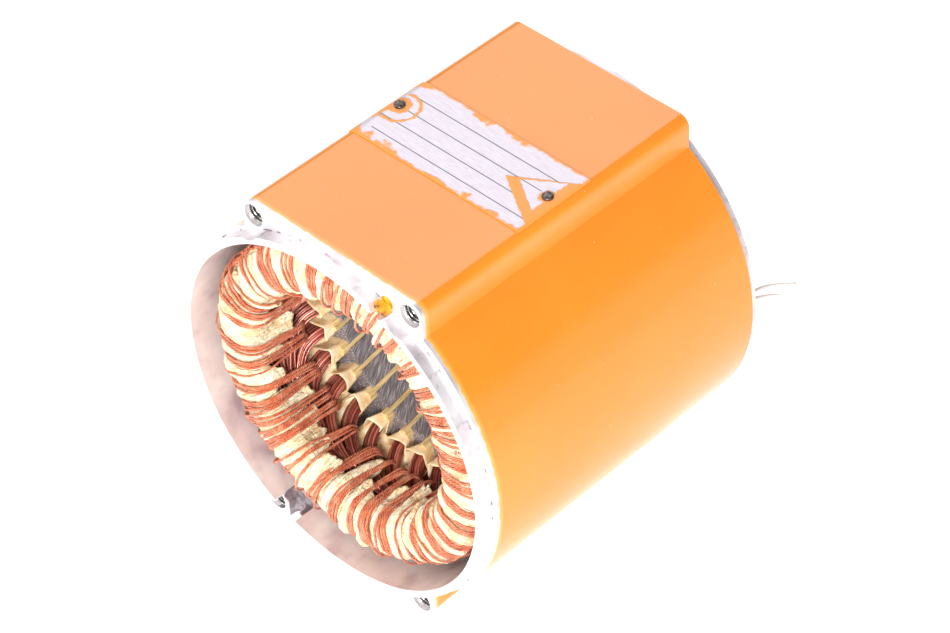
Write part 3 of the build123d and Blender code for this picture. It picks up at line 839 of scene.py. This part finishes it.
def tie_lines(seed):
    """Angle of each tie on the nose, and how many mm it slants by at the inner end."""
    rng = np.random.default_rng(seed)
    return np.arange(BANDS) * 360 / BANDS + rng.uniform(-2.0, 2.0, BANDS), rng.uniform(1.0, 9.0, BANDS)


def to_nearest(angle, ties):
    """Distance in mm from an angle to the nearest tie, round the roll's middle; 57.3 is a radian."""
    return np.abs((angle[:, :, None] - ties + 180) % 360 - 180).min(axis=-1) * ROLL_MIDDLE / 57.3


def wrap(name, roll, node_name, seed):
    """The laced paper: puffed between ties, pleated along the line, ragged at both edges.

    Its height over the roll is a puff that rises from zero at each tie, plus ridged noise, which
    is 1 - |noise| and so creases sharply. Each tongue's reach is random.
    """
    around, along = 720, 66
    rng = np.random.default_rng(seed)
    theta = np.linspace(0, 360, around, endpoint=False)[:, None]
    share = np.linspace(0, 1, along)[None, :]
    middle, slant = tie_lines(seed)
    r, y, n_r, n_y, s = roll_line(roll, PAPER_PROUD - 0.5, 3.0, 1.0, 400)
    inner_ends = middle + np.degrees(slant / ROLL_MIDDLE)
    gap = np.searchsorted(np.sort(inner_ends), theta[:, 0]) % BANDS
    reach = np.where(
        rng.random(BANDS) < 0.7, rng.uniform(6.0, 16.0, BANDS), rng.uniform(0.5, 6.0, BANDS)
    )[gap][:, None]
    to_tie = to_nearest(theta, inner_ends)
    start = reach + 4.0 * np.clip(1 - to_tie / 4.0, 0, 1) ** 2
    start = np.clip(start + 0.9 * smooth_noise((around, 8), (2, 2), seed + 1)[:, :1], 0.2, 18.0)
    here = start + (s[-1] - start) * share
    r, y, n_r, n_y = (np.interp(here, s, value) for value in (r, y, n_r, n_y))
    lean = np.degrees((1 - here / s[-1])[:, :, None] ** 1.6 * slant / ROLL_MIDDLE)
    away = to_nearest(theta, middle + lean)
    rise = np.clip((away - 1.5) / 2.4, 0, 1)
    rise = rise * rise * (3 - 2 * rise)
    bulk = 1.0 + 0.6 * smooth_noise((around, along), (11.0, 10.0), seed + 6)
    pleat = 1 - np.abs(smooth_noise((around, along), (1.5, 9.0), seed + 2))
    facet = 1 - np.abs(smooth_noise((around, along), (3.6, 7.0), seed + 4))
    crumple = 1 - np.abs(smooth_noise((around, along), (2.0, 1.5), seed + 3))
    inner = np.clip(1 - (here - start) / 12, 0, 1)
    lift = rise * (bulk + 0.9 * facet + 0.3 * crumple) + pleat * (0.15 + 0.45 * inner) - 0.25
    lift = lift + 0.9 * inner**3 * rise
    fold = 0.3 * smooth_noise((around, along), (3.0, 3.0), seed + 5)
    sheet = polar(r + n_r * lift, theta + fold, y + n_y * lift)
    points, quads = shell(sheet, PAPER_DRAWN, close_rows=True)
    piece = add_piece(name, points, quads, crepe, "wrap_paper")
    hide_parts(node_name)
    return piece


wrap("front_crepe_wrap", FRONT_ROLL, "front_overhang_wrap", 21)
wrap("rear_crepe_wrap", REAR_ROLL, "rear_overhang_wrap", 22)

# %% [markdown]
# ## Lacing
# Flat lacing yarn ties the roll down through the gaps between the coils: five to eight strands
# side by side at each tie, drawn a little slantwise, with a twisted running cord and a knot from
# tie to tie on the outer shoulder. Each strand is a tube, and its yarns follow the UV map.

# %% Braided cord
# Shrink polyester lacing braid: brick red to orange, matt, with painted pale highlights on its strands.
# The UV map counts turns round the strand and millimetres along it. The plies twist by this many
# turns per millimetre of strand, coarser than real ones so that they show.
PLY_TWIST = 0.38
lacing, tree, vector = new_finish("brick_red_lacing_braid")
parts = node(tree, "SeparateXYZ", {"Vector": node(tree, "UVMap", uv_map="UVMap")}).node.outputs
along_cord = node(tree, "CombineXYZ", {"X": parts["X"], "Y": parts["Y"]})
yarns = node(tree, "Mapping", {"Vector": along_cord, "Scale": [1 / mm for mm in (0.16, 2.6, 1.0)]})
yarns = node(tree, "TexNoise", {"Vector": yarns, "Scale": 1.0, "Detail": 3.0})
turns = ((parts["X"], 2.0), (parts["Y"], PLY_TWIST))
turns = [node(tree, "Math", pair, operation="MULTIPLY") for pair in turns]
ply = node(tree, "Math", turns, operation="ADD")
ply = node(tree, "Math", [ply, 2 * math.pi], operation="MULTIPLY")
ply = node(tree, "Math", [node(tree, "Math", [ply], operation="SINE")], operation="ABSOLUTE")
blotch = node(tree, "TexNoise", {"Vector": vector, "Scale": 1 / 3.0, "Detail": 3.0})
tones = [node(tree, "Math", pair, operation="MULTIPLY") for pair in ((yarns, 0.55), (blotch, 0.45))]
tone = node(tree, "Math", [ply, 0.22, node(tree, "Math", tones, operation="ADD")], operation="MULTIPLY_ADD")
# The ramp runs from a painted shade through brick red and orange to a pale painted highlight.
lacing_stops = [(0.42, "#96290c"), (0.56, "#d9511d"), (0.68, "#f2803f"), (0.84, "#ffc3a2")]
weave = node(tree, "Math", [yarns, 1.5, ply], operation="MULTIPLY_ADD")
close_finish(tree, {
    "Base Color": node(tree, "ValToRGB", {"Fac": tone}, stops=lacing_stops),
    "Roughness": 0.7,
    "Sheen Weight": 0.25,
    "Normal": node(tree, "Bump", {"Height": weave, "Distance": 0.00035}),
})
print("plies twist", PLY_TWIST, "turns per mm of strand")


# %% Ties, running cord and knots
TUCK = 3.2
# The running cord's circle: its radius, and how far behind the roll's nose it lies.
SHOULDER_RADIUS, SHOULDER_DEPTH = 60.2, 4.0


def ties(roll, seed):
    """Strands of each tie: the roll's line at a steady angle, with a slant and a small wander.

    At its inner end the line turns outwards by a quarter circle of TUCK, and the strand goes out
    of sight between the arms. A few stray strands cross to the next tie, over the puffed paper.
    """
    stations, tucked = 34, 7
    rng = np.random.default_rng(seed + 50)
    middle, slant = tie_lines(seed)
    r, y, n_r, n_y, _ = roll_line(roll, PAPER_PROUD + 0.1, 0.6, 1.0, stations)
    turn = np.radians(np.linspace(-100, 0, tucked, endpoint=False))
    back = roll["way"]
    tuck_r = np.concatenate([r[0] + TUCK * (1 - np.cos(turn)), r])
    tuck_y = np.concatenate([y[0] - back * TUCK * np.sin(turn), y])
    n_r = np.concatenate([-np.cos(turn), n_r])
    n_y = np.concatenate([-back * np.sin(turn), n_y])
    share = np.linspace(1, 0, stations + tucked)
    runs = []
    for k in range(BANDS):
        strands = int(rng.integers(5, 9))
        gather = rng.uniform(0.45, 0.75)
        drift = rng.uniform(-2.0, 2.0)
        for c in range(strands):
            phase = rng.uniform(0, 6.28, 3)
            stray = float(rng.random() < 0.12) * rng.choice([-1.0, 1.0])
            shift = (c - (strands - 1) / 2) * gather + drift * np.sin(2.6 * share) + 8.5 * stray * (1 - share)
            wander = 0.6 * np.sin(3.2 * share + phase[0]) + 0.3 * np.sin(9 * share + phase[1])
            lift = 0.25 + 0.3 * np.sin(6 * share + phase[1]) + 0.2 * np.sin(13 * share + phase[2])
            lift = lift + 1.5 * abs(stray) * np.sin(np.pi * share)
            side = shift * (1 - 0.25 * share) + slant[k] * share**1.6 + wander
            angle = middle[k] + np.degrees(side / ROLL_MIDDLE)
            runs.append(polar(tuck_r + n_r * lift, angle, tuck_y + n_y * lift))
    return np.array(runs)


def running_cord(roll):
    """Three strands twisted together right round the outer shoulder, dipping between ties."""
    angle = np.linspace(0, 360, 720, endpoint=False)
    wave = np.cos(np.radians(angle * BANDS))
    twist = np.radians(angle * 40)[None, :] + np.radians([[0.0], [120.0], [240.0]])
    radius = SHOULDER_RADIUS + 0.4 * wave + 0.5 * np.cos(twist)
    depth = SHOULDER_DEPTH - 1.2 * wave + 0.5 * np.sin(twist)
    return polar(radius, angle, roll["nose"] + roll["way"] * depth)


def knots(roll, seed):
    """A small double loop at each tie, where it meets the running cord."""
    rng = np.random.default_rng(seed + 60)
    t = np.linspace(0, 4 * np.pi, 30)
    loops = []
    for angle in tie_lines(seed)[0]:
        size = rng.uniform(1.2, 1.9)
        r = SHOULDER_RADIUS + 0.4 + 0.75 * np.sin(t) * size * 0.5
        turn = angle + np.degrees(size * np.cos(t) / 60)
        y = roll["nose"] + roll["way"] * (SHOULDER_DEPTH + size * 0.9 * np.sin(t + 0.7) + 0.15 * t)
        loops.append(polar(r, turn, y))
    return np.array(loops)


STRAND_RADIUS = 0.42
for end, roll, seed in (("front", FRONT_ROLL, 21), ("rear", REAR_ROLL, 22)):
    runs = ties(roll, seed)
    made = tubes(runs, STRAND_RADIUS, 6, np.cross(outward(runs), [0.0, 1.0, 0.0]), aspect=(1.1, 0.85))
    piece = add_piece(f"{end}_lacing_ties", **made, material=lacing, slot="lacing_cord")
    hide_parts(f"{end}_lacing_bands")
    run = running_cord(roll)
    made = tubes(run, 0.45, 6, outward(run), closed=True)
    add_piece(f"{end}_running_cord", **made, material=lacing, slot="lacing_cord")
    loops = knots(roll, seed)
    made = tubes(loops, STRAND_RADIUS, 6, np.broadcast_to([0.0, 1.0, 0.0], loops.shape))
    add_piece(f"{end}_lacing_knots", **made, material=lacing, slot="lacing_cord")

# %% [markdown]
# ## Layer papers
# Between the inner and the outer arms lie crumpled sheets of the same paper. Each is a cone's
# sector with pleats, its free edge torn.


# %% Crumpled sheets
PAPERS = 9
SEPARATOR_RADIUS = 47.15


def layer_paper(number, near_slot, near_roll, seed):
    """One sector of a cone from the slots to the roll, crumpled by smooth noise."""
    rows, columns = 70, 26
    start = number * 360 / PAPERS + 2.2
    angle = np.linspace(start, start + 35.6, rows)[:, None]
    share = np.linspace(-0.05, 1.15, columns)[None, :] + 0.06 * smooth_noise(
        (rows, columns), (3, 1), seed
    )[:, :1]
    crumple = smooth_noise((rows, columns), (1.6, 3.0), seed + 1)
    r = SEPARATOR_RADIUS + (ROLL_SPLIT - SEPARATOR_RADIUS) * share + 0.35 * crumple
    y = near_slot + (near_roll - near_slot) * share + 0.2 * crumple
    return shell(polar(r, angle, y), 0.25)


for end, near_slot, near_roll, seed in (("front", 33.6, 22.4, 40), ("rear", 100.4, 106.6, 70)):
    points, quads = joined([layer_paper(n, near_slot, near_roll, seed + 3 * n) for n in range(PAPERS)])
    piece = add_piece(f"{end}_crumpled_papers", points, quads, tan_film, "separator_film")
    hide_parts(f"{end}_layer_papers")

# %% [markdown]
# ## Thread inserts
# Wire thread inserts are coils of bright stainless wire. CAD holds plain sleeves; here each is the
# real helix, one turn per 1.25 mm of pitch, with a lozenge of wire between the thread's walls.

# %% Stainless coils
# Cold-rolled stainless wire: bright and smooth, greying in the thread's roots.
stainless = mottled_finish(
    "bright_stainless_wire",
    1.0,
    [(0.3, "#b4b0ac"), (0.7, "#e2dfdc")],
    {"Metallic": 1.0, "Roughness": 0.22},
)
print(stainless.name)


# %% Insert coils
def insert_coil(x, z, near, sign):
    """A helix: (r cos t, near + pitch t / turn, r sin t) about a hole's centre."""
    pitch, steps = 1.25, 20
    turns = INSERT_LENGTH / pitch
    t = np.linspace(0, turns, int(turns * steps) + 1)
    middle = (INSERT_RADIUS + INSERT_HOLE_RADIUS) / 2
    coil = polar(middle, 360 * t, near + sign * (0.4 + pitch * t * (1 - 0.8 / INSERT_LENGTH)))
    return coil + np.array([x, 0.0, z])


corners = [(sx * HOLE_X, sz * HOLE_Z) for sx in (-1, 1) for sz in (-1, 1)]
for end, near, sign in (("front", INSERT_RECESS, 1), ("rear", HOUSING_LENGTH - INSERT_RECESS, -1)):
    coils = np.array([insert_coil(x, z, near, sign) for x, z in corners])
    made = tubes(coils, 0.46, 6, np.broadcast_to([0.0, 1.0, 0.0], coils.shape), aspect=(1.1, 0.8))
    piece = add_piece(f"{end}_insert_coils", **made, material=stainless, slot="insert_steel")
    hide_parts(f"{end}_thread_inserts")

# %% [markdown]
# ## Nameplate
# The plate is thin satin aluminium, riveted down before the last coat of enamel. It was masked by
# hand, so orange mist lies round the rivets and along its edges. Four thin rules divide its face.

# %% Plate finish
# Satin-anodised aluminium: pale, slightly lilac, fine grain along X, dulled by overspray.
plate_finish, tree, vector = new_finish("satin_anodised_plate")
parts = node(tree, "SeparateXYZ", {"Vector": vector}).node.outputs
x, y = parts["X"], parts["Y"]
brush = node(tree, "Mapping", {"Vector": vector, "Scale": [1 / mm for mm in (4.8, 0.4, 0.4)]})
brush = node(tree, "TexNoise", {"Vector": brush, "Scale": 1.0, "Detail": 3.0})
silver = node(tree, "ValToRGB", {"Fac": brush}, stops=[(0.3, "#cdc3ce"), (0.7, "#e0d9e3")])
# Each rule: where it lies along Y, and where it starts and ends along X.
for rule_y, left, right in (
    (52.1, -33.5, 35.0), (59.0, -38.0, 22.6), (65.7, -31.0, 29.0), (72.6, -35.3, 31.0)
):
    off_rule = apart(tree, y, rule_y)
    ends = mask(tree, [(x, left - 0.1, left + 0.1), (x, right + 0.1, right - 0.1)])
    rule = node(tree, "MapRange", {"Value": off_rule, "From Min": 0.26, "From Max": 0.14, "To Max": 0.85})
    rule = node(tree, "Math", [rule, ends], operation="MULTIPLY")
    silver = node(tree, "Mix", {0: rule, 6: silver, 7: "#3a3438"}, 2, data_type="RGBA")

# %% Overspray on the plate
torn = node(tree, "TexNoise", {"Vector": vector, "Scale": 1 / 2.2, "Detail": 4.0})
torn = node(tree, "Math", [torn, 9.0, -4.5], operation="MULTIPLY_ADD")
rough_edge = node(tree, "Math", [torn, 0.3], operation="MULTIPLY")
# Rings round the rivets: centre, radius and half width.
mist = 0.0
for ring_x, ring_y, ring_radius, half in (
    (-34.4, 66.0, 3.0, 1.1), (-33.9, 65.2, 7.2, 0.55), (32.2, 65.0, 2.3, 0.5)
):
    away = [node(tree, "Math", pair, operation="SUBTRACT") for pair in ((x, ring_x), (y, ring_y))]
    ring = apart(tree, span(tree, *away), ring_radius)
    ring = node(tree, "Math", [ring, rough_edge], operation="ADD")
    ring = node(tree, "MapRange", {"Value": ring, "From Min": half + 0.25, "From Max": half - 0.25})
    mist = node(tree, "Math", [mist, ring], operation="MAXIMUM")
# A wedge of paint from the right, with a bare wedge inside it: tip's Y, slope, and start and end.
spread = node(tree, "Math", [x, rough_edge], operation="ADD")
wedges = []
for tip_y, slope, start, end in ((63.6, 1.6, 15.0, 15.4), (65.4, 1.5, 19.5, 20.1)):
    aside = node(tree, "Math", [apart(tree, y, tip_y), slope], operation="MULTIPLY")
    wedge = node(tree, "Math", [spread, aside], operation="SUBTRACT")
    wedges.append((wedge, start, end))
patch = mask(tree, wedges[:1])
window = mask(tree, [wedges[1], (spread, 33.3, 32.7)])
outside = node(tree, "Math", [1.0, window], operation="SUBTRACT")
patch = node(tree, "Math", [patch, outside], operation="MULTIPLY")
mist = node(tree, "Math", [mist, patch], operation="MAXIMUM")
# The plate's border: how far inside its four edges a point lies, less the torn edge and blobs.
margin = node(tree, "Math", [y, 46.5], operation="SUBTRACT")
for pair, operation in (((80.5, y), "SUBTRACT"), ((x, 38.6), "ADD"), ((36.8, x), "SUBTRACT")):
    edge = node(tree, "Math", pair, operation=operation)
    margin = node(tree, "Math", [margin, edge], operation="MINIMUM")
blobs = node(tree, "TexNoise", {"Vector": vector, "Scale": 1 / 8.0, "Detail": 2.0})
blobs = node(tree, "Math", [blobs, 14.0, -7.0], operation="MULTIPLY_ADD")
blobs = node(tree, "Math", [blobs, 0.0], operation="MAXIMUM")
margin = node(tree, "Math", [torn, 0.3, margin], operation="MULTIPLY_ADD")
margin = node(tree, "Math", [margin, blobs], operation="SUBTRACT")
border = node(tree, "MapRange", {"Value": margin, "From Min": 1.1, "From Max": 0.2})
mist = node(tree, "Math", [mist, border], operation="MAXIMUM")
height = node(tree, "Math", [mist, 2.0, brush], operation="MULTIPLY_ADD")
close_finish(tree, {
    "Base Color": node(tree, "Mix", {0: mist, 6: silver, 7: "#fa9e42"}, 2, data_type="RGBA"),
    "Metallic": node(tree, "Math", [mist, -0.35, 0.35], operation="MULTIPLY_ADD"),
    "Roughness": 0.4,
    "Normal": node(tree, "Bump", {"Height": height, "Distance": 0.00004}),
})
assign(plate_finish, "nameplate")
print("nameplate carries four rules and no lettering")

# %% [markdown]
# ## Rear fittings
# A glass-bead sensor in a shrink sleeve lies beside the rear roll, and the star point's splice is
# tied down on it. The sensor's two leads leave at the rear. They are flexible, so each is a smooth
# curve through its listed route.

# %% Sleeves and leads
# Heat-shrunk polyester sleeve: off-white, glossy, faintly ribbed by what it covers.
sleeve = mottled_finish(
    "off_white_shrink_sleeve",
    3.0,
    [(0.3, "#d8cdbb"), (0.7, "#ebe3d4")],
    {"Roughness": 0.3},
    dimple=1.2,
    depth=0.0002,
)
assign(sleeve, "winding_temperature_sensor", "star_point_splice")

# Extruded PTFE: white to pink-grey, waxy.
ptfe = mottled_finish(
    "white_ptfe_insulation",
    2.0,
    [(0.3, "#dfcfc9"), (0.7, "#f0e6e0")],
    {"Roughness": 0.35},
)
print(sleeve.name, "and", ptfe.name)

# %% Leads
LEAD_RADIUS = 0.0006
lead_routes = {
    "sensor_lead_long": (
        [
            (0.0634, 0.115, 0.00175),
            (0.0634, 0.125, 0.00175),
            (0.0608, 0.140, 0.0003),
            (0.0676, 0.1514, -0.0033),
        ],
        0.0385,
    ),
    "sensor_lead_short": (
        [
            (0.0634, 0.115, 0.00025),
            (0.0634, 0.124, 0.00025),
            (0.0614, 0.1365, -0.0024),
            (0.0659, 0.145, -0.0052),
        ],
        0.0316,
    ),
}
for name, (route, length) in lead_routes.items():
    curve = bpy.data.curves.new(name + "_cord", "CURVE")
    curve.dimensions = "3D"
    curve.bevel_depth = LEAD_RADIUS
    curve.bevel_resolution = 4
    curve.use_fill_caps = True
    spline = curve.splines.new("NURBS")
    spline.points.add(len(route) - 1)
    for point, corner in zip(spline.points, route):
        point.co = (*corner, 1.0)
    spline.order_u = 3
    spline.use_endpoint_u = True
    spline.resolution_u = 12
    curve.materials.append(ptfe)
    lead = bpy.data.objects.new(name + "_cord", curve)
    scene.collection.objects.link(lead)
    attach(lead, "root")
    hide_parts(name)
print("leads", list(lead_routes))

# %% [markdown]
# ## Finish
# The visible model must keep to the CAD model's size, whose box is printed at the start.

# %% Finish
bpy.context.view_layer.update()
